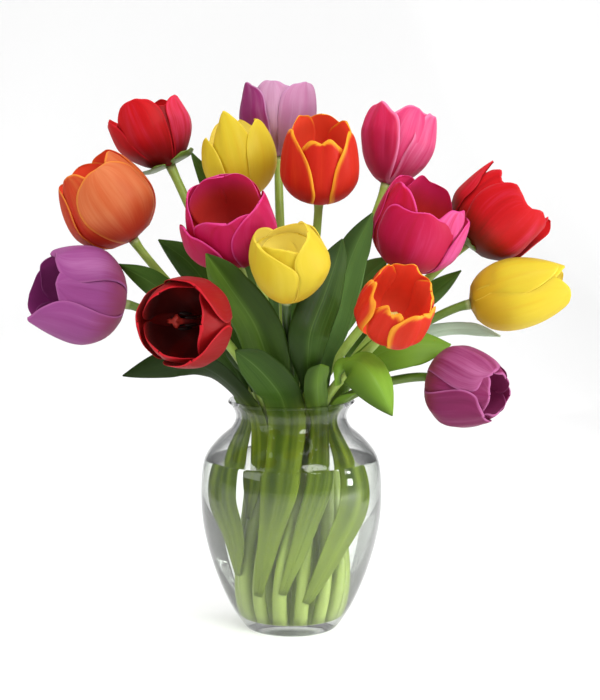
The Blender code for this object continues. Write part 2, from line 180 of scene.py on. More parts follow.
def addPiece(mesh, material, node):
    piece = bpy.data.objects.new(mesh.name, mesh)
    mesh.materials.append(material)
    scene.collection.objects.link(piece)
    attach(piece, "root")
    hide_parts(node)


def bladeMesh(name, grid, thickness, fields):
    # a closed thin blade on both sides of a grid of points, its rows from root to tip; fields are
    # numbers over the grid that its material reads
    rows, columns = grid.shape[:2]
    normals = gridNormals(grid)
    half = thickness[..., None] / 2
    vertices = np.vstack([(grid + normals * half).reshape(-1, 3), (grid - normals * half).reshape(-1, 3)])
    count = rows * columns
    front = gridFaces(rows, columns)
    back = [[count + v for v in reversed(face)] for face in front]
    rim = list(range(columns)) + [r * columns + columns - 1 for r in range(1, rows)]
    rim += list(range(rows * columns - 2, (rows - 1) * columns - 1, -1))
    rim += [r * columns for r in range(rows - 2, 0, -1)]
    edge = [[b, a, count + a, count + b] for a, b in zip(rim, rim[1:] + rim[:1])]
    across = np.tile(np.linspace(-1, 1, columns), (rows, 1))
    along = np.tile(np.linspace(0, 1, rows)[:, None], (1, columns))
    fields = {"across": across, "along": along, **fields}
    attributes = {key: np.tile(np.ravel(values * np.ones((rows, columns))), 2)
                  for key, values in fields.items()}
    attributes["inside"] = np.repeat([0.0, 1.0], count)
    return makeMesh(name, vertices, front + back + edge, attributes)


def circleAngles(count):
    return np.arange(count) * 2 * math.pi / count


def tubeRings(path, radii, segments):
    # rings of points round a path, kept from twisting
    path = np.asarray(path, float)
    along = unit(np.gradient(path, axis=0))
    side = unit(np.cross(along[0], (0.3, 1, 0.2)))
    rings = []
    angles = circleAngles(segments)
    for i, point in enumerate(path):
        side = unit(side - along[i] * np.dot(side, along[i]))
        other = np.cross(along[i], side)
        circle = np.outer(np.cos(angles), side) + np.outer(np.sin(angles), other)
        rings.append(point + circle * radii[i])
    return np.array(rings)


def closedTube(rings):
    # vertices and faces of the rings with a fan on each end
    rows, columns = rings.shape[:2]
    vertices = np.vstack([rings.reshape(-1, 3), rings[0].mean(0), rings[-1].mean(0)])
    faces = gridFaces(rows, columns, wrap=True)
    last = (rows - 1) * columns
    for i in range(columns):
        after = (i + 1) % columns
        faces.append([rows * columns, after, i])
        faces.append([rows * columns + 1, last + i, last + after])
    return vertices, faces


def turnedMesh(name, outline, segments):
    # the outline as radius and height, from the axis at the bottom to the axis at the top
    outline = np.array(outline, float)
    angles = circleAngles(segments)
    radii, heights = outline[1:-1, 0], outline[1:-1, 1:]
    rings = np.stack([np.outer(radii, np.cos(angles)), np.outer(radii, np.sin(angles)),
                      np.repeat(heights, segments, 1)], -1)
    vertices, faces = closedTube(rings)
    vertices[-2] = (0, 0, outline[0, 1])
    vertices[-1] = (0, 0, outline[-1, 1])
    return makeMesh(name, vertices, faces)


vase = {
    "outline": [(0.034, 0.0), (0.0385, 0.0035), (0.05, 0.021), (0.062, 0.049), (0.0708, 0.082),
                (0.073, 0.112), (0.07, 0.138), (0.06, 0.153), (0.048, 0.164), (0.0444, 0.172),
                (0.0464, 0.179), (0.051, 0.185)],
    "steps": 6,  # of the curve from one point of the outline to the next
    "wall": 0.0028,
    "floor": 0.0095,
    "floorRadius": 0.0395,
    "corner": (0.92, 1.03, 0.0115),  # start and end as parts of the floor's radius, and the end's height
    "lipRise": 0.0007,
    "punt": [(0, 0.0022), (0.012, 0.0019), (0.024, 0.001), (0.031, 0.0001)],
    "segments": 128,
}
glassLook = {"Roughness": 0.0, "IOR": 1.03, "Transmission Weight": 1.0, "Coat Weight": 1.0, "Coat IOR": 1.26,
             "Coat Roughness": 0.01}
# the edge tint is painted shade on the glass's sides
glassTints = {"middle": (250, 251, 250), "edge": (150, 152, 152), "shadow": (248, 248, 248)}
water = {
    "level": 0.1385,
    "intoGlass": 0.0001,
    "meniscus": 0.0012,
    "rim": [(0.0008, 0.0004), (0.0028, 0.0)],  # in from the glass, and over the level
    "overFloor": 0.00005,
    "tint": (246, 250, 244),
}


def vaseInner():
    outer = splineThrough(vase["outline"], vase["steps"])
    along = unit(np.gradient(outer, axis=0))
    inner = outer + np.stack([-along[:, 1], along[:, 0]], -1) * vase["wall"]
    inner = inner[inner[:, 1] > 2 * vase["floor"]]
    start, end, height = vase["corner"]
    corner = [(vase["floorRadius"] * start, vase["floor"]), (vase["floorRadius"] * end, height), inner[0]]
    return np.vstack([splineThrough(corner, vase["steps"])[:-1], inner])


def clearToLight(shader, surface, tint):
    # a surface that casts only a faint shadow on what stands inside it
    through = shader.node("BsdfTransparent", {}, {"Color": linear(tint)})
    return shader.finish(shader.blend(shader.node("LightPath", output="Is Shadow Ray"), surface, through))


def glassMaterial():
    shader = Shader("clearGlass")
    middle = shader.skin(linear(glassTints["middle"]), glassLook)
    # painted shade at the glass's edges: grey glass where the surface turns away, in place of the darker
    # refraction there
    deep = shader.skin(linear(glassTints["edge"]), glassLook)
    edge = shader.node("LayerWeight", {}, {"Blend": 0.5}, "Facing")
    glass = shader.blend(shader.step(edge, 0.3, 0.95), middle, deep)
    return clearToLight(shader, glass, glassTints["shadow"])


def waterMaterial():
    shader = Shader("clearWater")
    wet = shader.skin(linear(water["tint"]), {"Roughness": 0.0, "IOR": 1.333, "Transmission Weight": 1.0})
    return clearToLight(shader, wet, water["tint"])


def makeVase():
    outer = splineThrough(vase["outline"], vase["steps"])
    inner = vaseInner()
    lip = (outer[-1] + inner[-1]) / 2 + (0, vase["lipRise"])
    outline = np.vstack([vase["punt"], outer, lip, inner[::-1], [(0, vase["floor"])]])
    mesh = turnedMesh("glassVase", outline, vase["segments"])
    addPiece(mesh, glassMaterial(), "vase")


def makeWater():
    inner = vaseInner() + (water["intoGlass"], 0)
    level = water["level"]
    side = inner[inner[:, 1] < level + water["meniscus"]]
    top = [(side[-1, 0] - inward, level + over) for inward, over in water["rim"]] + [(0, level)]
    outline = np.vstack([[(0, vase["floor"] + water["overFloor"])], side, top])
    mesh = turnedMesh("waterFill", outline, vase["segments"])
    addPiece(mesh, waterMaterial(), "water")


stem = {
    "radius": 0.004,
    "topScale": 0.85,
    "footScale": 1.3,
    "footLift": 0.0018,
    "gap": 0.0003,
    "neckHeight": 0.174,
    "footRings": {"outer": 0.024, "inner": 0.0090},
    "neckRings": {"outer": 0.031, "inner": 0.0130},
    "spiral": 25.0,  # degrees from foot to neck
    "spread": 0.3,  # outward lean at the foot
    "upright": 1.6,  # in the neck
    "neckPull": 0.9,
    "bloomPull": 0.5,
    "steps": (5, 7),  # of the middle line below the neck and above it
    "fineSteps": (22, 30),
    "segments": 20,
    "uneven": 0.03,  # a part of the radius
    "flare": (1.0, 1.06, 1.15, 1.22),  # of the last rings under the bloom
    "shade": 0.1,  # 0 fresh, 1 dull, 2 in deep shade
    "shades": {"yellow_right": 1.0, "purple_left": 0.8, "purple_right": 0.9, "yellow_front": 2.0},
    "fresh": ((126, 154, 54), (168, 190, 92)),
    "dull": ((74, 98, 26), (104, 128, 46)),
    "tints": [  # what each follows, where it starts and where it is full
        ("shade", 1.2, 1.8, (40, 62, 16)),
        ("low", 0.2, 0.16, (84, 100, 22)),  # painted shade in the crowded neck
        ("low", 0.142, 0.125, (136, 154, 66)),  # under water
        ("low", 0.08, 0.02, (158, 174, 92)),
        ("along", 0.975, 1.0, (178, 190, 128))],
    "fibres": (84, 116, 40),
}

# base, tip, greatest radius, mouth as a part of it, ring, neck azimuth
tulips = {
    "pink_top_right": ((0.077, 0.049, 0.357), (0.094, 0.061, 0.416), 0.03, 0.7, "outer", 48),
    "red_right": ((0.142, 0.033, 0.309), (0.189, 0.027, 0.353), 0.034, 0.9, "outer", 24),
    "yellow_right": ((0.143, -0.001, 0.263), (0.219, 0.001, 0.279), 0.0271, 0.62, "outer", 2),
    "purple_right": ((0.112, -0.031, 0.207), (0.159, -0.067, 0.199), 0.03, 0.66, "outer", -20),
    "orange_front": ((0.071, -0.064, 0.248), (0.086, -0.102, 0.286), 0.0272, 0.86, "outer", -48),
    "yellow_front": ((-0.003, -0.07, 0.274), (0.0, -0.098, 0.322), 0.0282, 0.8, "outer", -90),
    "red_front_left": ((-0.068, -0.085, 0.259), (-0.085, -0.136, 0.262), 0.032, 0.88, "outer", -125),
    "purple_left": ((-0.133, -0.009, 0.264), (-0.199, -0.031, 0.279), 0.0362, 0.8, "outer", -170),
    "orange_left": ((-0.1265, 0.011, 0.314), (-0.1655, 0.009, 0.374), 0.0359, 0.62, "outer", 168),
    "red_top_left": ((-0.099, 0.057, 0.371), (-0.122, 0.063, 0.421), 0.0295, 0.66, "outer", 145),
    "purple_top": ((-0.011, 0.088, 0.378), (-0.011, 0.098, 0.436), 0.0308, 0.74, "outer", 98),
    "orange_top": ((0.022, 0.005, 0.346), (0.024, -0.019, 0.404), 0.0288, 0.78, "inner", 45),
    "magenta_right": ((0.089, 0.003, 0.291), (0.11, -0.013, 0.355), 0.0333, 0.9, "inner", -10),
    "magenta_left": ((-0.0425, -0.028, 0.304), (-0.052, -0.062, 0.351), 0.0335, 0.84, "inner", -134),
    "yellow_top": ((-0.037, 0.042, 0.346), (-0.046, 0.042, 0.408), 0.0275, 0.7, "inner", 140),
}

# the turn of the first outer petal, 0 facing the front, and how petals differ from petalShape;
# petals 0 to 2 are the outer three and 3 to 5 the inner three, each set a third of a turn apart
petals = {
    "pink_top_right": {
        "turn": -60,
        "all": {"widestAt": 0.6, "base": 1.5, "mouth": 0.86, "point": 0.2, "ragged": 0.08, "ribs": 0.0005},
        0: {"toneAndLight": -0.6, "length": 0.98, "point": 0.6}, 1: {"toneAndLight": 0.5, "turn": 2, "lean": -2},
        2: {"length": 0.96}, 3: {"toneAndLight": 0.1, "turn": 10, "length": 1.02}, 4: {"toneAndLight": 0.3}},
    "red_right": {
        "turn": -10, "all": {"ragged": 0.1, "point": 0.2, "width": 0.95},
        0: {"length": 1.02, "width": 1.2, "ragged": 0.13, "turn": 12, "point": 0.0, "notch": 0.06},
        1: {"point": 1.0, "lean": 9, "curl": 0.12, "width": 0.85, "ragged": 0.0},
        2: {"point": 1.0, "length": 0.92, "lean": 1, "width": 0.68, "turn": 14}, 3: {"length": 0.92},
        4: {"length": 0.9}, 5: {"length": 0.9, "notch": 0.05}},
    "yellow_right": {
        "turn": 8, "all": {"mouth": 0.5, "point": 0.3, "width": 1.05, "widestAt": 0.45, "ribs": 0.0001},
        0: {"width": 1.1}, 5: {"length": 0.95, "lean": 7, "point": 0.9, "turn": -18, "width": 0.8}},
    "purple_right": {
        "turn": 25,
        "all": {"ragged": 0.06, "ribs": 0.0004, "mouth": 0.56, "width": 0.95, "point": 0.2, "full": 0.62},
        0: {"curl": 0.08}, 2: {"toneAndLight": 0.5, "length": 0.97}, 5: {"toneAndLight": 0.1}},
    "orange_front": {
        "turn": -78, "all": {"ragged": 0.13, "point": 0.35, "ribs": 0.0006, "mouth": 0.84, "full": 0.6},
        0: {"width": 0.58, "point": 0.8}, 1: {"length": 0.94},
        3: {"width": 0.62, "length": 0.93, "point": 0.6}, 5: {"width": 0.6, "point": 0.8}},
    "yellow_front": {
        "turn": -72,
        "all": {"width": 1.05, "mouth": 0.9, "widestAt": 0.66, "full": 0.68, "point": 0.3, "base": 1.6},
        0: {"length": 0.99, "width": 1.5},
        1: {"length": 1.13, "turn": 40, "width": 1.3, "curl": -0.45, "point": 0.6},
        2: {"length": 1.04, "point": 1.0, "curl": -0.2, "sway": -0.45},
        3: {"length": 0.98, "width": 1.2, "point": 0.0, "curl": -0.3},
        4: {"turn": 58, "width": 1.2, "full": 0.8, "length": 0.8, "innerLayer": -0.0032, "point": 0.9},
        5: {"length": 0.76}},
    "red_front_left": {
        "turn": 0, "all": {"ragged": 0.05, "width": 1.02, "mouth": 0.92, "point": 0.15},
        0: {"length": 1.02, "lean": 1}, 1: {"length": 1.01}, 2: {"ragged": 0.09}, 3: {"curl": -0.22},
        4: {"curl": -0.1}, 5: {"curl": -0.12}},
    "purple_left": {
        "turn": -12, "all": {"point": 0.25, "width": 0.98, "mouth": 0.66, "widestAt": 0.45, "full": 0.6},
        0: {"length": 1.05, "sway": -0.1, "width": 0.84, "turn": -14, "point": 0.45, "curl": 0.1},
        1: {"length": 0.92, "notch": 0.05, "full": 0.66, "bulge": 0.003, "toneAndLight": 0.3},
        3: {"length": 0.88, "point": 1.0, "width": 1.05, "turn": -4, "curl": 0.08}, 4: {"length": 0.94},
        5: {"length": 0.94}},
    "orange_left": {
        "turn": 34, "all": {"point": 0.3, "mouth": 0.62},
        0: {"length": 0.88, "toneAndLight": 0.6, "width": 0.94, "point": 0.1}, 2: {"toneAndLight": -0.6, "length": 0.95},
        3: {"toneAndLight": 0.4, "length": 0.97}, 5: {"toneAndLight": -0.5, "width": 0.85, "point": 0.7, "length": 0.98}},
    "red_top_left": {
        "turn": -8, "all": {"point": 0.15, "ragged": 0.07, "widestAt": 0.6, "base": 1.6, "mouth": 0.94},
        0: {"length": 1.05, "width": 0.72, "full": 0.62, "turn": 6},
        1: {"toneAndLight": 0.6, "turn": -34, "width": 0.6, "length": 0.9, "ragged": 0.0, "full": 0.62},
        2: {"turn": 46, "width": 0.95, "notch": 0.08, "ragged": 0.14, "lean": 4},
        3: {"toneAndLight": -1.0, "length": 0.8}, 5: {"length": 0.9, "turn": 4, "notch": 0.07, "ragged": 0.12}},
    "purple_top": {
        "turn": -70,
        "all": {"point": 0.1, "ribs": 0.0004, "widestAt": 0.6, "base": 1.7, "mouth": 0.88, "ragged": 0.06},
        0: {"toneAndLight": -0.9, "width": 0.92, "length": 0.99}, 1: {"toneAndLight": 0.35},
        2: {"toneAndLight": -0.9, "length": 1.02}, 3: {"toneAndLight": 0.7, "width": 0.8}, 4: {"length": 0.97},
        5: {"length": 0.97}},
    "orange_top": {
        "turn": -60, "all": {"ragged": 0.05, "widestAt": 0.38, "point": 0.85, "full": 0.32},
        0: {"turn": -5, "width": 0.98, "sway": -0.1}, 1: {"turn": 10, "width": 0.92},
        2: {"point": 0.2, "full": 0.5, "width": 1.0},
        3: {"length": 0.95, "ragged": 0.08, "notch": 0.04, "point": 0.1, "full": 0.5},
        4: {"length": 0.97, "point": 0.3, "full": 0.5}, 5: {"length": 1.07, "point": 0.3, "full": 0.5}},
    "magenta_right": {
        "turn": -12, "all": {"point": 0.15, "ragged": 0.05, "mouth": 0.84, "widestAt": 0.46},
        0: {"length": 0.84, "width": 1.06, "point": 0.0, "toneAndLight": -0.1, "full": 0.6},
        1: {"length": 0.8, "lean": 4, "toneAndLight": 0.8, "turn": -20},
        3: {"length": 0.93, "toneAndLight": 0.7, "lean": 2}, 4: {"ragged": 0.1, "point": 0.0},
        5: {"width": 1.0, "toneAndLight": -0.5}},
    "magenta_left": {
        "turn": -55, "all": {"point": 0.15, "ragged": 0.05, "width": 1.06, "mouth": 0.86},
        0: {"length": 0.86, "lean": 6, "point": 0.8, "width": 0.9}, 1: {"length": 0.97},
        3: {"length": 0.97, "notch": 0.05, "full": 0.66},
        4: {"turn": 52, "width": 1.3, "full": 0.8, "length": 1.03, "innerLayer": -0.0032, "point": 0.0}},
    "yellow_top": {
        "turn": -66, "all": {"point": 0.9, "base": 1.8, "widestAt": 0.5},
        0: {"length": 0.86, "lean": 3, "width": 0.78},
        1: {"length": 0.97, "point": 0.8, "turn": 6, "width": 0.74},
        3: {"length": 1.13, "width": 0.76, "sway": -0.2}},
}

petalShape = {
    "length": 1.0,  # of the bloom's
    "width": 0.86,  # half, of the bloom's greatest radius
    "lean": 0.0,  # degrees outward
    "full": 0.52,  # part of the petal's length where it is widest
    "point": 0.5,  # 0 a round tip, 1 a pointed one
    "curl": 0.0,  # of the tip outward, as a part of the radius
    "sway": 0.0,  # of the tip sideways, as a part of the radius
    "wave": 0.0005,  # of the edges
    "ragged": 0.03,  # of the rim
    "ribs": 0.0002,  # height of the long folds
    "notch": 0.0,  # in the middle of the rim
    "toneAndLight": 0.0,  # darker below 0, lighter above: partly the petal's own colour, partly painted light and shade
    "widestAt": 0.42,  # part of the bloom's length where it is widest
    "base": 2.0,  # 1 a straight taper to the stem, 2 a round base
    "rows": 40,
    "columns": 27,
    "thickness": 0.0007,
    "receptacle": 0.0042,
    "bulge": 0.0015,  # of the middle of a petal over its edges
    "outerLayer": 0.0008,  # of the outer petals over the cup
    "innerLayer": -0.0018,
    "uneven": 0.0018,
    "footWidth": 0.27,  # a part of the width
    "tipHalf": 0.0005,
    "crease": 0.0003,  # depth along the middle
    "thinEdge": 0.55,  # how much thinner the edges are, and the tip
    "thinTip": 0.4,
}


def bloomFrame(tulip):
    # base, and the directions to the front, to the right and along the bloom's axis
    base, tip = np.array(tulips[tulip][0]), np.array(tulips[tulip][1])
    axis = unit(tip - base)
    front = np.array((0, -1, -0.5))
    front = unit(front - axis * np.dot(front, axis))
    return base, front, np.cross(axis, front), axis, np.linalg.norm(tip - base)


def bellyRadius(part, greatest, mouth, shape):
    widest, foot = shape["widestAt"], shape["receptacle"]
    low = np.clip(1 - part / widest, 0, 1)
    rise = (1 - low ** shape["base"]) ** (1 / shape["base"])
    fall = np.clip((part - widest) / (1 - widest), 0, None) ** 1.8
    return np.where(part < widest, foot + (greatest - foot) * rise, greatest * (1 - (1 - mouth) * fall))


def noiseAt(x, y, z):
    return noise.noise(Vector((x, y, z)))


noiseGrid = np.vectorize(noiseAt)


def petalGrid(tulip, turn, inner, shape, seed):
    base, front, right, axis, length = bloomFrame(tulip)
    greatest = tulips[tulip][2]
    mouth = shape.get("mouth", tulips[tulip][3])
    s = (1 - (1 - np.linspace(0, 1, shape["rows"])) ** 1.6)[:, None]
    u = np.linspace(-1, 1, shape["columns"])[None, :]
    # half width of the petal at each row
    full, foot = shape["full"], shape["footWidth"]
    rising = foot + (1 - foot) * np.sin(math.pi / 2 * ramp(s, 0, full) ** 0.85)
    x = ramp(s, full, 1)
    bluntness = 2.6 - 0.9 * shape["point"]
    falling = (1 - x**bluntness) ** (1 / (2.1 - 0.9 * shape["point"]))
    half = np.maximum(shape["width"] * greatest * rising * falling, shape["tipHalf"])
    # middle line in the plane of the axis
    height = s * length * shape["length"]
    belly = bellyRadius(s * shape["length"], greatest, mouth, shape)
    radius = belly + shape["curl"] * greatest * ramp(s, 0.6, 1) ** 1.6
    lean = math.radians(shape["lean"]) * ramp(s, 0, 0.4)
    radius, height = (radius * np.cos(lean) + height * np.sin(lean),
                      height * np.cos(lean) - (radius - shape["receptacle"]) * np.sin(lean) * 0.6)
    side = half * u
    spread = side / (shape["width"] * greatest)
    cup = np.where(s < 0.12, radius, np.maximum(belly, 0.3 * greatest))
    angle = (side + shape["sway"] * greatest * s**2.5) / cup
    # the bloom's unevenness and the petal's own
    grown = np.clip(s * 3, 0, 1)
    bearing = angle + math.radians(turn)
    bloomSeed = seed // 6 * 7.3
    uneven = noiseGrid(np.cos(bearing) * 1.3, np.sin(bearing) * 1.3, s * shape["length"] * 1.6 + bloomSeed)
    ripple = np.sin(s * 13 + seed * 2.4 + np.sign(u) * 1.3) * np.abs(u) ** 4 * shape["wave"]
    crease = np.exp(-((side / (0.07 * greatest)) ** 2)) * shape["crease"] * np.clip(s * 4, 0, 1)
    layer = shape["innerLayer" if inner else "outerLayer"] * np.clip(s * 6, 0.1, 1)
    folds = shape["ribs"] * np.sin(spread * 11 + seed * 1.7) * grown
    swell = layer + (uneven * shape["uneven"] + folds + shape["bulge"] * (1 - u**2)) * grown + ripple - crease
    out = radius - cup + (cup + swell) * np.cos(angle)
    sideways = (cup + swell) * np.sin(angle)
    rag = noiseGrid(spread * 2.6, seed * 3.1, 0.5)
    rag = rag * shape["ragged"] - shape["notch"] * np.exp(-((spread / 0.16) ** 2))
    height = height + rag * length * s**5
    facing = front * math.cos(math.radians(turn)) + right * math.sin(math.radians(turn))
    beside = np.cross(axis, facing)
    grid = base + out[..., None] * facing + sideways[..., None] * beside + height[..., None] * axis
    thickness = shape["thickness"] * (1 - shape["thinEdge"] * np.abs(u) ** 3) * (1 - shape["thinTip"] * s**4)
    slope = np.gradient(half[:, 0], s[:, 0] * length)[:, None]
    rim = (half - np.abs(side)) / np.sqrt(1 + slope**2) / greatest
    return grid, thickness, {"rim": rim, "shade": seed * 0.137 % 1, "toneAndLight": shape["toneAndLight"]}


# colours of each kind of petal: outside, its lighter and darker streaks, its edge and its foot, then
# inside and deep inside
# the inside colours are partly the petal's own and partly painted light, lightened for light shining through
# the petals
petalColours = {
    "pink": {
        "body": (222, 68, 124), "light": (240, 134, 178), "dark": (190, 32, 76), "edge": (244, 138, 182),
        "foot": (200, 40, 90), "inner": (226, 60, 112), "deep": (190, 40, 70), "edgeWidth": 0.1},
    "red": {
        "body": (204, 17, 24), "light": (232, 68, 108), "dark": (150, 10, 18), "edge": (214, 30, 44),
        "foot": (128, 10, 14), "inner": (206, 18, 24), "deep": (64, 10, 11), "deepTo": 0.74},
    "yellow": {
        "body": (207, 189, 52), "light": (222, 204, 78), "dark": (206, 170, 44), "edge": (232, 210, 72),
        "foot": (204, 164, 42), "inner": (255, 240, 120), "deep": (255, 236, 116), "edgeWidth": 0.04,
        "paintedGlow": 0.3},
    "purple": {
        "body": (158, 76, 142), "light": (196, 124, 180), "dark": (122, 42, 104), "edge": (180, 98, 160),
        "foot": (156, 70, 100), "inner": (156, 64, 130), "deep": (134, 46, 108), "paintedGlow": 0.13},
    "orange": {
        "body": (199, 41, 18), "light": (224, 84, 34), "dark": (194, 28, 16), "edge": (250, 178, 44),
        "foot": (176, 32, 18), "inner": (255, 92, 60), "deep": (255, 92, 60), "edgeWidth": 0.14,
        "paintedGlow": 0.16},
    "magenta": {
        "body": (196, 26, 90), "light": (230, 80, 152), "dark": (178, 20, 56), "edge": (228, 72, 150),
        "foot": (174, 22, 44), "inner": (226, 50, 112), "deep": (214, 62, 54), "deepTo": 0.8, "paintedGlow": 0.07},
}
bloomColours = {
    "purple_top": {
        "body": (197, 130, 169), "light": (222, 178, 208), "dark": (148, 46, 110), "edge": (206, 150, 190),
        "foot": (186, 132, 146)},
    "purple_right": {
        "body": (139, 43, 94), "light": (194, 106, 158), "dark": (112, 26, 70), "edge": (190, 100, 156),
        "foot": (150, 62, 70), "inner": (176, 64, 124), "deep": (160, 50, 106)},
    "orange_left": {
        "body": (200, 97, 50), "light": (216, 136, 86), "dark": (184, 48, 22), "edge": (232, 146, 54),
        "foot": (178, 50, 26), "edgeWidth": 0.06},
    "orange_front": {
        "body": (202, 48, 20), "light": (230, 94, 32), "dark": (204, 36, 20), "edge": (250, 176, 48),
        "edgeWidth": 0.21},
    "red_right": {"foot": (96, 44, 16)},
    "red_front_left": {
        "body": (158, 11, 16), "light": (184, 30, 46), "inner": (172, 18, 22), "deep": (88, 22, 18)},
    "magenta_right": {"light": (236, 98, 164), "body": (196, 26, 78), "dark": (182, 20, 50)},
}
petalLook = {
    "edgeWidth": 0.05,  # a part of the bloom's radius
    "deepTo": 0.5,  # a part of its length
    "paintedGlow": 0.04,  # painted glow of the inside, for light that shines through the petals
    "translucent": 0.42,
}


def petalMaterial(tulip):
    look = {**petalLook, **petalColours[tulip.split("_")[0]], **bloomColours.get(tulip, {})}
    tints = {key: linear(value) for key, value in look.items() if key not in petalLook}
    edgeWidth, deepTo = look["edgeWidth"], look["deepTo"]
    shader = Shader("petal_" + tulip)
    across, along, inside = shader.attributes("across", "along", "inside")
    shade, rim, toneAndLight = shader.attributes("shade", "rim", "toneAndLight")
    wide = shader.noise(shader.join(across * 3.4 + shade * 9, along * 0.8, shade * 13), detail=4.0)
    fine = shader.noise(shader.join(across * 24 + shade * 9, along * 1.5, shade * 5))
    edge = shader.step(rim + (wide - 0.5) * edgeWidth * 1.8, edgeWidth, edgeWidth * 0.1)
    # a whole petal moves towards its dark or light colours: partly its own colour, partly painted highlight
    # and shade on single petals
    streak = wide * 0.7 + fine * 0.3 + toneAndLight * 0.35
    foot = shader.step(along + (fine - 0.5) * 0.15, 0.36, 0.02)
    outer = shader.mix(shader.step(streak, 0.52, 0.2), tints["body"], tints["dark"])
    outer = shader.mix(shader.step(streak, 0.5, 0.9), outer, tints["light"])
    outer = shader.mix(foot, outer, tints["foot"])
    outer = shader.mix(edge, outer, tints["edge"])
    # the inside colours here are partly painted light, lightened for light shining through the petals
    depth = shader.step(along + (fine - 0.5) * 0.1, deepTo, deepTo * 0.5)
    innerFace = shader.mix(depth, tints["inner"], tints["deep"])
    innerEdge = shader.step(rim, edgeWidth * 0.45, 0.0) * shader.step(along, 0.55, 0.85)
    innerFace = shader.mix(innerEdge, innerFace, tints["edge"])
    ribs = shader.bump(fine * 0.6 + wide, 0.0005, 0.3)
    # the inside's emission is a painted glow, standing in for light that shines through the petals
    petal = shader.skin(shader.mix(inside, outer, innerFace), {
        "Roughness": shader.step(fine, 0.3, 0.7, 0.46, 0.58), "Normal": ribs,
        "Specular IOR Level": 0.22, "Sheen Weight": 0.05, "Sheen Roughness": 0.4,
        "Emission Color": shader.mix(inside, (0, 0, 0, 1), innerFace), "Emission Strength": look["paintedGlow"]})
    through = shader.node("BsdfTranslucent", {}, {"Color": tints["body"], "Normal": ribs})
    return shader.finish(shader.blend(petalLook["translucent"], petal, through))


def makeBloom(tulip, number):
    changes = petals[tulip]
    material = petalMaterial(tulip)
    for k in range(6):
        inner = k > 2
        shape = {**petalShape, **changes["all"], **changes.get(k, {})}
        turn = changes["turn"] + 120 * (k % 3) + 60 * inner + shape.get("turn", 0)
        mesh = bladeMesh(f"petal_{tulip}_{k}", *petalGrid(tulip, turn, inner, shape, number * 6 + k))
        addPiece(mesh, material, "bloom_" + tulip)


def hermite(start, stop, leave, arrive, steps):
    t = np.arange(steps)[:, None] / steps
    return (start * (2 * t**3 - 3 * t**2 + 1) + leave * (t**3 - 2 * t**2 + t)
            + stop * (3 * t**2 - 2 * t**3) + arrive * (t**3 - t**2))


def polar(radius, azimuth, height):
    angle = math.radians(azimuth)
    return np.array((radius * math.cos(angle), radius * math.sin(angle), height))


def stemPath(tulip, steps):
    # up from the vase's floor, through the neck, and out to the bloom
    ring, azimuth = tulips[tulip][4:]
    inRing = [name for name in tulips if tulips[name][4] == ring]
    footAzimuth = tulips[inRing[0]][5] - 360 / len(inRing) * inRing.index(tulip) - stem["spiral"]
    foot = polar(stem["footRings"][ring], footAzimuth, vase["floor"] + stem["footLift"])
    neck = polar(stem["neckRings"][ring], azimuth, stem["neckHeight"])
    base, _, _, axis, _ = bloomFrame(tulip)
    end = base - axis * stem["gap"]
    bendEnd = end - axis * stem["radius"]
    rise, reach = np.linalg.norm(neck - foot), np.linalg.norm(bendEnd - neck)
    spread = polar(stem["spread"], footAzimuth, 1) * rise
    through = unit(np.array((0, 0, stem["upright"])) + unit(bendEnd - neck))
    below = hermite(foot, neck, spread, through * rise, steps[0])
    leave, arrive = through * reach * stem["neckPull"], axis * reach * stem["bloomPull"]
    above = hermite(neck, bendEnd, leave, arrive, steps[1])
    return np.vstack([below, above, bendEnd, end])


def stemRadius(height):
    # below the neck the stems widen towards their feet
    return stem["radius"] * (1 + (stem["footScale"] - 1) * np.clip(1 - height / stem["neckHeight"], 0, 1))


def stemMaterial():
    shader = Shader("stemSkin")
    across, along, shade = shader.attributes("across", "along", "shade")
    mottle = shader.noise(shader.place(), 90.0, 4.0)
    fibre = shader.noise(shader.join(across * 9, along * 4, shade * 9))
    fresh, dull = [shader.mix(mottle, *map(linear, stem[key])) for key in ("fresh", "dull")]
    colour = shader.mix(shader.step(shade, 0.25, 0.75), fresh, dull)
    followed = {"shade": shade, "low": shader.height(), "along": along}
    for source, start, full, tint in stem["tints"]:
        colour = shader.mix(shader.step(followed[source], start, full), colour, linear(tint))
    colour = shader.mix(fibre * 0.25, colour, linear(stem["fibres"]))
    return shader.finish(shader.skin(colour, {
        "Roughness": shader.step(mottle, 0.3, 0.7, 0.36, 0.5), "Specular IOR Level": 0.4,
        "Normal": shader.bump(fibre, 0.0004, 0.3)}))


def makeStem(tulip, number, material):
    path = stemPath(tulip, stem["fineSteps"])
    count, segments = len(path), stem["segments"]
    part = np.linspace(0, 1, count)
    radii = stemRadius(path[:, 2]) * (1 + (stem["topScale"] - 1) * ramp(part, 0.4, 1))
    radii *= 1 + stem["uneven"] * np.sin(part * 17 + number * 1.9)
    radii[-len(stem["flare"]):] *= stem["flare"]
    vertices, faces = closedTube(tubeRings(path, radii, segments))
    turn = np.tile(np.abs(np.linspace(-1, 1, segments, endpoint=False)), count)
    attributes = {
        "along": np.append(np.repeat(part, segments), (0, 1)),
        "across": np.append(turn, (0, 0)),
        "shade": np.full(len(vertices), stem["shades"].get(tulip, stem["shade"])),
    }
    mesh = makeMesh("stemOf_" + tulip, vertices, faces, attributes)
    addPiece(mesh, material, "stem_" + tulip)


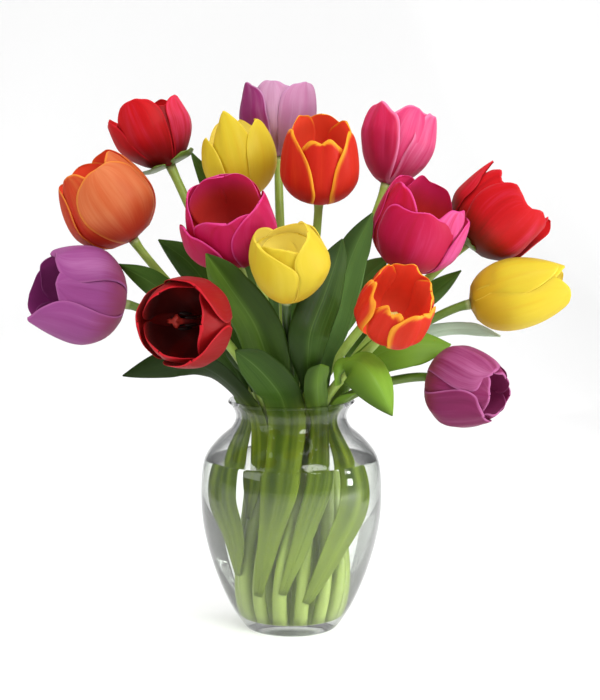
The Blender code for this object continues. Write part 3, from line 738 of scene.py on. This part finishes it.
pistil = {
    "column": [(0, 0.0019, 0.05), (0.002, 0.0022, 0.08), (0.006, 0.0027, 0.10), (0.011, 0.0026, 0.10),
               (0.015, 0.0022, 0.10), (0.0172, 0.0024, 0.2), (0.0188, 0.0034, 0.42), (0.0202, 0.0040, 0.5),
               (0.0208, 0.0022, 0.4)],  # height, radius, and depth of the three lobes
    "height": 0.021,
    "lift": 0.0015,
    "segments": 24,
    "stamens": 6,
    "stamen": [(0.0015, 0.0030), (0.0105, 0.0052), (0.0185, 0.0060)],  # height, and distance from the axis
    "stamenSteps": 8,
    "stamenSegments": 8,
    "thread": 0.0006,
    "anther": (0.0004, 0.0010),  # least radius, and what the middle adds
    "bend": {"red_front_left": (-0.0125, 0.002, 0.0)},  # of the tip
    "red": [(120, 20, 24), (196, 52, 40), (26, 8, 10)],  # column, stigma and anther
    "green": [(150, 160, 70), (206, 196, 110), (70, 44, 60)],
    "grain": (60, 40, 20),
}


def makePistil(tulip, material):
    base, front, right, axis, _ = bloomFrame(tulip)
    bend = np.array(pistil["bend"].get(tulip, (0, 0, 0)))
    heights, sizes, lobes = np.array(pistil["column"]).T[..., None]
    angles = circleAngles(pistil["segments"])
    radius = sizes * (1 + lobes * np.cos(3 * angles))
    rings = (base + axis * pistil["lift"] + heights[..., None] * axis
             + radius[..., None] * (np.cos(angles)[:, None] * front + np.sin(angles)[:, None] * right))
    parts = [(*closedTube(rings), 0.0)]
    for k in range(pistil["stamens"]):
        turn = math.radians((k + 0.5) * 360 / pistil["stamens"])
        out = front * math.cos(turn) + right * math.sin(turn)
        line = [base + axis * height + out * away for height, away in pistil["stamen"]]
        path = splineThrough(line, pistil["stamenSteps"])
        part = np.linspace(0, 1, len(path))
        swell = np.sqrt(np.clip(np.sin((part - 0.5) * 2 * math.pi), 0, 1))
        size = np.where(part < 0.5, pistil["thread"], pistil["anther"][0] + pistil["anther"][1] * swell)
        parts.append((*closedTube(tubeRings(path, size, pistil["stamenSegments"])), 1.0))
    vertices, faces, shade, along = [], [], [], []
    for points, quads, kind in parts:
        start = len(vertices)
        risen = ramp((points - base) @ axis, 0, pistil["height"])
        vertices += (points + risen[:, None] ** 2 * bend).tolist()
        faces += [[start + v for v in quad] for quad in quads]
        shade += [kind] * len(points)
        along += list(risen)
    mesh = makeMesh("pistilOf_" + tulip, vertices, faces, {"shade": shade, "along": along})
    addPiece(mesh, material, "pistil_" + tulip)


def pistilMaterial(kind):
    column, stigma, anther = map(linear, pistil[kind])
    shader = Shader(kind + "Pistil")
    along, shade = shader.attributes("along", "shade")
    grain = shader.noise(shader.place(), 700.0, 2.0)
    body = shader.mix(shader.step(along, 0.78, 0.9), column, stigma)
    thread = shader.mix(shader.step(along, 0.42, 0.55), column, anther)
    colour = shader.mix(shader.step(shade, 0.4, 0.6), body, thread)
    colour = shader.mix(grain * 0.3, colour, linear(pistil["grain"]))
    return shader.finish(shader.skin(colour, {"Roughness": 0.55, "Normal": shader.bump(grain, 0.0003, 0.5)}))


# bearing stem, height of the root on it, side of the stem in degrees, the way the outer face looks,
# the middle line as x, y, z and half width, and how the leaf differs from leafShape
leaves = {
    "front_left_large": ("yellow_front", 0.186, 215, (-0.3, -1.0, -0.2), [
        (-0.008, -0.051, 0.203, 0.007), (-0.0185, -0.061, 0.228, 0.018), (-0.029, -0.067, 0.256, 0.0185),
        (-0.048, -0.076, 0.286, 0.0145), (-0.064, -0.079, 0.309, 0.0006)], {"dim": 0.9, "shade": 0.5}),
    "front_low": ("yellow_front", 0.035, 245, (-0.1, -1.0, -0.1), [
        (-0.0139, -0.0355, 0.09, 0.009), (-0.0085, -0.042, 0.122, 0.0135), (-0.0035, -0.0378, 0.17, 0.0148),
        (-0.006, -0.047, 0.19, 0.0155), (-0.012, -0.063, 0.204, 0.0165), (-0.026, -0.077, 0.222, 0.013),
        (-0.042, -0.084, 0.236, 0.0006)], {"dim": 0.4, "shade": 0.05}),
    "left_narrow": ("magenta_left", 0.195, 230, (-0.5, -1.0, 0.0), [
        (-0.038, -0.034, 0.218, 0.008), (-0.054, -0.044, 0.242, 0.0006)], {"shade": 0.1}),
    "left_low": ("red_front_left", 0.095, 215, (-0.65, -0.75, -0.2), [
        (-0.0268, -0.0225, 0.125, 0.008), (-0.0263, -0.028, 0.17, 0.009), (-0.037, -0.034, 0.19, 0.01),
        (-0.06, -0.052, 0.2145, 0.0115), (-0.088, -0.058, 0.223, 0.012), (-0.13, -0.058, 0.213, 0.0006)],
        {"shade": -0.5, "dim": 0.6}),
    "centre_front": ("yellow_front", 0.19, 345, (0.2, -1.0, -0.1), [
        (0.0125, -0.048, 0.207, 0.006), (0.013, -0.0622, 0.226, 0.0125), (0.015, -0.0685, 0.248, 0.0165),
        (0.025, -0.053, 0.273, 0.016), (0.034, -0.037, 0.297, 0.011), (0.04, -0.031, 0.317, 0.0006)],
        {"dim": -0.7, "shade": -0.2}),
    "centre_tall": ("orange_front", 0.188, 100, (-0.1, 1.0, 0.1), [
        (0.024, -0.025, 0.224, 0.01), (0.031, -0.023, 0.246, 0.014), (0.039, -0.019, 0.276, 0.015),
        (0.049, -0.014, 0.306, 0.012), (0.064, -0.01, 0.336, 0.0006)], {"dim": 0.6, "shade": 0.3}),
    "right_behind": ("magenta_right", 0.205, 100, (-0.2, 1.0, 0.0), [
        (0.03, 0.012, 0.232, 0.009), (0.042, 0.018, 0.258, 0.014), (0.06, 0.02, 0.283, 0.011),
        (0.078, 0.021, 0.299, 0.0006)], {"shade": 0.6}),
    "front_right_drooping": ("orange_front", 0.203, 280, (0.2, -0.8, 0.5), [
        (0.037, -0.05, 0.212, 0.0035), (0.041, -0.062, 0.222, 0.0085), (0.052, -0.077, 0.226, 0.018),
        (0.064, -0.088, 0.213, 0.016), (0.077, -0.092, 0.187, 0.0006)],
        {"fold": 0.3, "cup": 0.1, "shade": 0.9, "dim": 0.3}),
    "front_short": ("orange_front", 0.038, 280, (0.4, -1.0, 0.1), [
        (0.012, -0.04, 0.095, 0.008), (0.0215, -0.04, 0.13, 0.01), (0.023, -0.0322, 0.17, 0.0078),
        (0.0213, -0.0443, 0.191, 0.0098), (0.0205, -0.058, 0.206, 0.0108), (0.0215, -0.065, 0.217, 0.0095),
        (0.0225, -0.0685, 0.2235, 0.0006)], {"shade": 0.55, "dim": -0.4}),
    "right_mouth": ("purple_right", 0.03, -60, (0.7, -0.8, 0.0), [
        (0.031, -0.034, 0.072, 0.01), (0.047, -0.03, 0.108, 0.014), (0.043, -0.025, 0.14, 0.0105),
        (0.0325, -0.0195, 0.17, 0.007), (0.0405, -0.028, 0.188, 0.0075), (0.053, -0.04, 0.198, 0.0006)],
        {"shade": 0.8}),
    "right_broad": ("yellow_right", 0.19, -60, (0.2, -0.8, 0.6), [
        (0.048, -0.014, 0.209, 0.009), (0.071, -0.026, 0.227, 0.016), (0.096, -0.03, 0.233, 0.016),
        (0.126, -0.022, 0.233, 0.0006)], {"shade": 0.85}),
    "right_upper": ("red_right", 0.2, 80, (0.2, -1.0, 0.0), [
        (0.05, 0.03, 0.218, 0.008), (0.084, 0.037, 0.245, 0.01), (0.113, 0.037, 0.267, 0.009),
        (0.138, 0.033, 0.287, 0.0006)], {}),
    "right_pale": ("yellow_right", 0.205, 80, (0.1, -0.8, -0.5), [
        (0.067, 0.013, 0.217, 0.007), (0.092, 0.017, 0.23, 0.008), (0.12, 0.017, 0.239, 0.008),
        (0.144, 0.013, 0.241, 0.006), (0.168, 0.008, 0.236, 0.0006)], {"shade": 1.3}),
    "left_upper": ("purple_left", 0.186, 250, (-0.2, -1.0, 0.0), [
        (-0.044, -0.024, 0.212, 0.008), (-0.076, -0.026, 0.252, 0.013), (-0.107, -0.022, 0.28, 0.01),
        (-0.136, -0.014, 0.296, 0.0006)], {"shade": 0.15}),
    "left_inner": ("orange_left", 0.19, 60, (-0.2, -1.0, 0.0), [
        (-0.04, 0.014, 0.215, 0.009), (-0.057, 0.019, 0.257, 0.015), (-0.08, 0.02, 0.292, 0.013),
        (-0.107, 0.021, 0.313, 0.0006)], {"shade": 0.0}),
    "left_behind": ("yellow_top", 0.2, 80, (-0.3, 1.0, -0.2), [
        (-0.023, 0.038, 0.235, 0.011), (-0.037, 0.056, 0.28, 0.0155), (-0.058, 0.07, 0.337, 0.011),
        (-0.083, 0.07, 0.382, 0.0006)], {}),
    "left_mouth": ("red_front_left", 0.05, 195, (-0.8, -0.7, 0.0), [
        (-0.039, -0.0125, 0.08, 0.011), (-0.05, -0.0185, 0.112, 0.0145), (-0.045, -0.017, 0.145, 0.011),
        (-0.0364, -0.0118, 0.17, 0.0072), (-0.04, -0.015, 0.183, 0.006), (-0.045, -0.02, 0.191, 0.0006)],
        {}),
    "back_large": ("purple_top", 0.06, 68, (0.1, 1.0, -0.1), [
        (0.0148, 0.0457, 0.11, 0.012), (0.0079, 0.0373, 0.17, 0.013), (0.003, 0.056, 0.21, 0.016),
        (-0.003, 0.08, 0.26, 0.018), (0.004, 0.1, 0.312, 0.0006)], {"shade": 0.1}),
    "back_low": ("red_top_left", 0.178, 90, (-0.3, 0.6, -0.7), [
        (-0.03, 0.04, 0.2, 0.008), (-0.048, 0.066, 0.23, 0.015), (-0.064, 0.096, 0.242, 0.013),
        (-0.078, 0.124, 0.224, 0.0006)], {}),
}

leafShape = {
    "thickness": 0.0009,
    "cup": 0.22,
    "fold": 0.0,  # along the middle
    "wave": 0.0008,  # of the edges
    "rib": 0.0005,
    "drift": 0.0012,
    "rootHalf": 0.003,
    "rootGap": 0.0018,  # from the stem's skin to the middle line
    "turnSpans": 1.5,  # of the middle line, over which the blade turns from the stem to its own way
    "tipHalf": 0.0004,
    "columns": 21,
    "steps": 10,
    "shade": 0.4,  # 0 dark, 1 pale, below 0 in shadow; partly the leaf's own green, partly painted light and shade
    "dim": 0.0,  # painted shade on the half of the blade on its side, -1 or 1
}
leafBlends = {  # pairs that mix unevenly over the blade
    "dark": ((30, 54, 5), (58, 90, 18)),
    "pale": ((92, 132, 24), (134, 172, 56)),
    # painted shade of the crowded neck
    "neckShade": ((52, 70, 2), (98, 116, 18)),
}
leafTints = {
    "frosted": (196, 214, 190),
    "veins": (120, 156, 74),
    "middle": (130, 166, 84),
    "inside": (98, 136, 76),
    "dim": (28, 48, 4),
    "shadow": (22, 38, 2),
    "deepWater": (136, 154, 66),
    "through": (120, 160, 40),
}
bractShape = {"point": 0.8, "outerLayer": 0.0028, "ragged": 0.05}
bracts = {  # each bract's turn round its bloom, and how it differs from petalShape
    "red_top_left": [(-50, {"length": 0.1, "width": 0.5, "lean": 9}),
                     (66, {"length": 0.1, "width": 0.4, "lean": 5})],
    "red_right": [(-30, {"length": 0.1, "width": 0.3, "lean": 2})],
}


def leafGrid(bearer, height, side, looks, line, shape, seed):
    path = stemPath(bearer, stem["steps"])
    i = next(i for i in range(len(path) - 1) if path[i][2] <= height <= path[i + 1][2])
    share = (height - path[i][2]) / (path[i + 1][2] - path[i][2])
    outward = polar(1, side, 0)
    root = path[i] + (path[i + 1] - path[i]) * share
    root = root + outward * (stemRadius(height) + stem["gap"] + shape["rootGap"])
    points = splineThrough([(*root, shape["rootHalf"])] + line, shape["steps"])
    middle, half = points[:, :3], points[:, 3:]
    t = np.arange(shape["steps"] + 1)[:, None] / shape["steps"]
    half[-len(t):] = half[-len(t)] * (1 - t**1.6) + shape["tipHalf"]  # the last span draws in to the tip
    rows = len(middle)
    along = unit(np.gradient(middle, axis=0))
    turnedBy = ramp(np.arange(rows), 0, shape["turnSpans"] * shape["steps"])[:, None]
    face = outward * (1 - turnedBy) + unit(looks) * turnedBy
    face = unit(face - along * np.sum(face * along, 1, keepdims=True))
    across = np.cross(along, face)
    u = np.linspace(-1, 1, shape["columns"])[None, :]
    s = np.linspace(0, 1, rows)[:, None]
    tip = ramp(s, 0.6, 1)
    cup = shape["cup"] * half * u**2 + shape["fold"] * half * np.abs(u)
    rib = shape["rib"] * np.exp(-((u / 0.09) ** 2)) * (1 - tip)
    ripple = shape["wave"] * np.abs(u) ** 3 * np.sin(s * 15 + np.sign(u) * 1.7 + seed * 2.1) * (1 - tip**3)
    drift = noiseGrid(s * 3, u, seed * 3.7) * shape["drift"]
    deep = -cup - rib + ripple + drift * np.clip(s * 4, 0, 1)
    sideways = across[:, None, :] * (half * u)[..., None]
    grid = middle[:, None, :] + sideways + face[:, None, :] * deep[..., None]
    taper = 1 - 0.6 * np.abs(u) ** 4
    thickness = shape["thickness"] * taper * (1 + 0.3 * np.exp(-((u / 0.15) ** 2)) + 0 * s)
    return grid, thickness


def makeBracts(material):
    for tulip, each in bracts.items():
        for k, (turn, changes) in enumerate(each):
            shape = {**petalShape, **bractShape, **changes}
            grid, thickness, fields = petalGrid(tulip, turn, False, shape, k)
            fields = {**fields, "shade": 1.1, "dim": 0.0}
            mesh = bladeMesh(f"bract_{tulip}_{k}", grid, thickness, fields)
            addPiece(mesh, material, "stem_" + tulip)


def leafMaterial():
    shader = Shader("leafBlade")
    across, along, inside, shade, dim = shader.attributes("across", "along", "inside", "shade", "dim")
    veins = shader.noise(shader.join(across * 24, along * 1.3, shade * 7), 1.0, 2.0, 0.5)
    broad = shader.noise(shader.join(across * 1.6, along * 2.4, shade * 5))
    tints = {key: linear(tint) for key, tint in leafTints.items()}
    dark, pale = [shader.mix(broad, *map(linear, leafBlends[key])) for key in ("dark", "pale")]
    colour = shader.mix(shader.step(shade + (broad - 0.5) * 0.3, 0.15, 1.1), dark, pale)
    colour = shader.mix(shader.step(shade, 1.1, 1.3), colour, tints["frosted"])
    colour = shader.mix(shader.step(veins, 0.35, 0.75) * 0.16, colour, tints["veins"])
    colour = shader.mix(shader.step(abs(across), 0.05, 0.0) * 0.2, colour, tints["middle"])
    colour = shader.mix(inside * 0.3, colour, tints["inside"])
    # painted shade on one half of the blade, as if the light fell on the other
    shadedHalf = shader.step(across * dim + (broad - 0.5) * 0.2, -0.1, 0.3)
    colour = shader.mix(shadedHalf * 0.75, colour, tints["dim"])
    # painted shadow on leaves whose shade is below 0
    colour = shader.mix(shader.step(shade, 0.0, -0.5) * 0.9, colour, tints["shadow"])
    low = shader.height()
    strands = shader.noise(shader.join(across * 2.4, along * 0.5, shade * 11), 1.0, 1.0)
    neckShade = shader.mix(shader.step(strands, 0.3, 0.72), *map(linear, leafBlends["neckShade"]))
    colour = shader.mix(shader.step(low, 0.2, 0.165), colour, neckShade)  # painted shade in the neck and below, streaked like stems behind
    colour = shader.mix(shader.step(low, 0.13, 0.06) * 0.6, colour, tints["deepWater"])
    blade = shader.skin(colour, {"Roughness": shader.step(veins, 0.3, 0.7, 0.46, 0.6),
                                 "Specular IOR Level": 0.18, "Normal": shader.bump(veins, 0.0005, 0.4)})
    through = shader.node("BsdfTranslucent", {}, {"Color": tints["through"]})
    return shader.finish(shader.blend(0.14, blade, through))


def makeLeaf(leaf, number, material):
    *course, changes = leaves[leaf]
    shape = {**leafShape, **changes}
    grid, thickness = leafGrid(*course, shape, number)
    mesh = bladeMesh("blade_" + leaf, grid, thickness, {"shade": shape["shade"], "dim": shape["dim"]})
    addPiece(mesh, material, "leaf_" + leaf)


studio = {
    "eye": (0.007, -1.6, 0.42),
    "aim": (0.007, 0.0, 0.226),
    "frameHeight": 0.56,  # metres of the aimed plane that the frame shows
    "sensor": 36.0,
    "air": 0.55,  # strength of the light from all round
    "floorWidth": 8.0,
    "sweep": [(-3.0, 0.0), (0.6, 0.0), (1.2, 0.04), (1.8, 0.25), (2.3, 0.8), (2.5, 1.8), (2.5, 3.5)],
    "paper": 0.97,
}
lights = {  # place, target, size, power, and whether the glass shows it
    "keyLight": ((0.9, -1.2, 1.5), (0, 0, 0.25), (0.9, 0.7), 30, True),
    "fillLight": ((-1.4, -0.9, 0.9), (0, 0, 0.25), (1.0, 1.0), 12, False),
    "topLight": ((0.0, 0.1, 1.9), (0, 0, 0.3), (1.6, 1.2), 20, False),
    "windowHigh": ((1.15, -0.22, 0.42), (0.05, -0.05, 0.12), (0.13, 0.13), 4, True),
    "windowLow": ((1.15, -0.22, 0.16), (0.05, -0.05, 0.12), (0.13, 0.13), 4, True),
}
cards = {"sideCardL": (-0.62, 0.39), "sideCardR": (0.62, 0.21)}  # x and grey of what the glass shows


def matt(shader, grey):
    return shader.node("BsdfDiffuse", {}, {"Color": (grey, grey, grey, 1)})


def makeStage():
    profile = splineThrough(studio["sweep"], 10)
    half = studio["floorWidth"] / 2
    grid = np.array([[(x, y, z) for x in np.linspace(-half, half, 9)] for y, z in profile])
    sweep = bpy.data.objects.new("sweep", makeMesh("sweep", grid.reshape(-1, 3), gridFaces(len(profile), 9)))
    shader = Shader("sweepPaper")
    behind = shader.node("NewGeometry", output="Backfacing")  # clear from behind
    paper = shader.blend(behind, matt(shader, studio["paper"]), shader.node("BsdfTransparent"))
    sweep.data.materials.append(shader.finish(paper))
    scene.collection.objects.link(sweep)


def aimedAt(thing, target):
    direction = Vector(target) - thing.location
    thing.rotation_euler = direction.to_track_quat("-Z", "Y").to_euler()


def addLight(name, place, target, size, power, shines):
    data = bpy.data.lights.new(name, "AREA")
    data.shape = "RECTANGLE"
    data.size, data.size_y = size
    data.energy = power
    light = bpy.data.objects.new(name, data)
    light.location = place
    light.visible_glossy = shines
    scene.collection.objects.link(light)
    aimedAt(light, target)


def addCard(name, x, grey):
    corners = [(x, 0.1, 0.0), (x, 1.15, 0.0), (x, 1.15, 0.7), (x, 0.1, 0.7)]
    card = bpy.data.objects.new(name, makeMesh(name, corners, [[0, 1, 2, 3]]))
    shader = Shader(name)
    card.data.materials.append(shader.finish(matt(shader, grey)))
    card.visible_camera = False
    scene.collection.objects.link(card)


def makeStudio():
    world = bpy.data.worlds.new("studioAir")
    world.use_nodes = True
    world.node_tree.nodes["Background"].inputs["Color"].default_value = (1, 1, 1, 1)
    world.node_tree.nodes["Background"].inputs["Strength"].default_value = studio["air"]
    scene.world = world
    for name, light in lights.items():
        addLight(name, *light)
    for name, card in cards.items():
        addCard(name, *card)


def makeCamera():
    camera = bpy.data.objects.new("camera", bpy.data.cameras.new("camera"))
    camera.location = studio["eye"]
    aimedAt(camera, studio["aim"])
    camera.data.sensor_width = studio["sensor"]
    distance = (Vector(studio["aim"]) - Vector(studio["eye"])).length
    camera.data.lens = studio["sensor"] * distance / studio["frameHeight"]
    camera.data.clip_end = 50
    scene.collection.objects.link(camera)
    scene.camera = camera
    scene.view_settings.view_transform = "Standard"


makeVase()
makeWater()
print("vase and water made")
stemSkin = stemMaterial()
for number, tulip in enumerate(tulips):
    makeBloom(tulip, number)
    makeStem(tulip, number, stemSkin)
print("blooms and stems made")
pistilSkins = {kind: pistilMaterial(kind) for kind in ("red", "green")}
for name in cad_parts:
    if name.startswith("pistil_"):
        tulip = name.removeprefix("pistil_")
        makePistil(tulip, pistilSkins["red" if tulip.startswith("red") else "green"])
leafBlade = leafMaterial()
for number, leaf in enumerate(leaves):
    makeLeaf(leaf, number, leafBlade)
makeBracts(stemSkin)
print("pistils and leaves made")
makeStage()
makeStudio()
makeCamera()
print("stage, lights and camera made")
